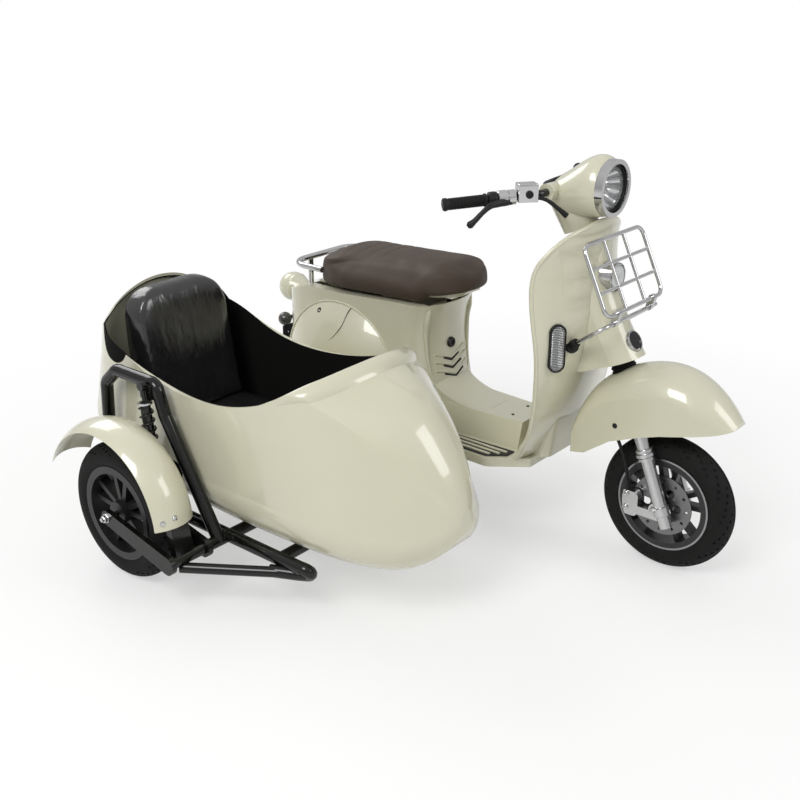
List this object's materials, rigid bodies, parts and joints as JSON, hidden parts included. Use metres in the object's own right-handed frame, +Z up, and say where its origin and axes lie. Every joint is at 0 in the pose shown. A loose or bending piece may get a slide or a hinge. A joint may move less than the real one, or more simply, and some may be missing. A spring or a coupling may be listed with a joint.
{
  "type": "electric scooter with sidecar",
  "caption": "Cream retro electric scooter with a sidecar on its right: folding front carrier, long brown seat, tubular hoop and separate mudguards.",
  "frame": {"origin": "on the ground under the middle of the whole vehicle's bounding box", "axes": "+X forward, +Y to the rider's left, +Z up; the sidecar is on the -Y side"},
  "size_m": [1.7659, 1.4791, 1.1716],
  "materials": {
    "cream_paint": "gloss",
    "black_paint": "gloss",
    "chrome": "polished",
    "silver_alloy": "satin",
    "black_alloy": "satin",
    "disc_steel": "brushed",
    "tyre": "matte",
    "grip_rubber": "matte",
    "black_plastic": "satin",
    "brown_vinyl": "satin",
    "black_vinyl": "satin",
    "lining": "matte",
    "clear_lens": "clear",
    "lamp_lens": "clear",
    "battery_case": "matte"
  },
  "bodies": {
    "chassis": {"head_tube": "black_paint", "leg_shield": "cream_paint", "horn_cover": "cream_paint", "floor_pan": "cream_paint", "main_frame": "black_paint", "rear_body": "cream_paint", "cowl_left": "cream_paint", "cowl_right": "cream_paint", "battery_pack": "battery_case", "seat_hinge": "black_paint", "sidecar_frame": "black_paint", "sidecar_body": "cream_paint", "sidecar_liner": "lining", "sidecar_cushion": "black_vinyl", "sidecar_backrest": "black_vinyl", "sidecar_mudguard": "cream_paint", "mudguard_stay": "black_paint", "sidecar_arm": "black_paint", "swing_arm": "black_paint", "shock_left": "black_paint", "shock_right": "black_paint", "sidecar_shock": "black_paint", "tail_lamp": "cream_paint", "plate_carrier": "black_plastic", "rear_indicator_left": "black_plastic", "rear_indicator_right": "black_plastic", "grab_rail": "chrome", "rack_stay": "chrome", "turn_lamp_left": "lamp_lens", "turn_lamp_right": "lamp_lens", "spot_lamp": "black_plastic"},
    "steering": {"fork": "silver_alloy", "caliper": "silver_alloy", "front_mudguard": "cream_paint", "headlight_cowl": "cream_paint", "headlight_ring": "chrome", "headlight_lens": "clear_lens", "handlebar": "black_paint", "grip_left": "grip_rubber", "grip_right": "grip_rubber", "lever_left": "silver_alloy", "lever_right": "silver_alloy"},
    "front_roller": {"front_tyre": "tyre", "front_wheel": "black_alloy", "brake_disc": "disc_steel"},
    "rear_roller": {"rear_tyre": "tyre", "rear_wheel": "black_alloy"},
    "sidecar_roller": {"sidecar_tyre": "tyre", "sidecar_wheel": "black_alloy"},
    "seat_lid": {"seat_pad": "brown_vinyl", "seat_pan": "black_plastic"},
    "carrier": {"rack_frame": "chrome"}
  },
  "joints": [
    {"name": "steering_turn", "type": "hinge", "parent": "chassis", "child": "steering", "pos_m": [0.656, 0.375, 0.204], "axis": [-0.3746, 0, 0.9272], "range_deg": [-38, 38]},
    {"name": "front_wheel_spin", "type": "hinge", "parent": "steering", "child": "front_roller", "pos_m": [0.679, 0.375, 0.204], "axis": [0, 1, 0], "continuous": true},
    {"name": "rear_wheel_spin", "type": "hinge", "parent": "chassis", "child": "rear_roller", "pos_m": [-0.591, 0.375, 0.204], "axis": [0, 1, 0], "continuous": true},
    {"name": "sidecar_wheel_spin", "type": "hinge", "parent": "chassis", "child": "sidecar_roller", "pos_m": [-0.481, -0.665, 0.204], "axis": [0, 1, 0], "continuous": true},
    {"name": "seat_open", "type": "hinge", "parent": "chassis", "child": "seat_lid", "pos_m": [-0.109, 0.375, 0.676], "axis": [0, 1, 0], "range_deg": [0, 60]},
    {"name": "carrier_fold", "type": "hinge", "parent": "chassis", "child": "carrier", "pos_m": [0.527, 0.375, 0.765], "axis": [0, 1, 0], "range_deg": [0, 115]}
  ]
}
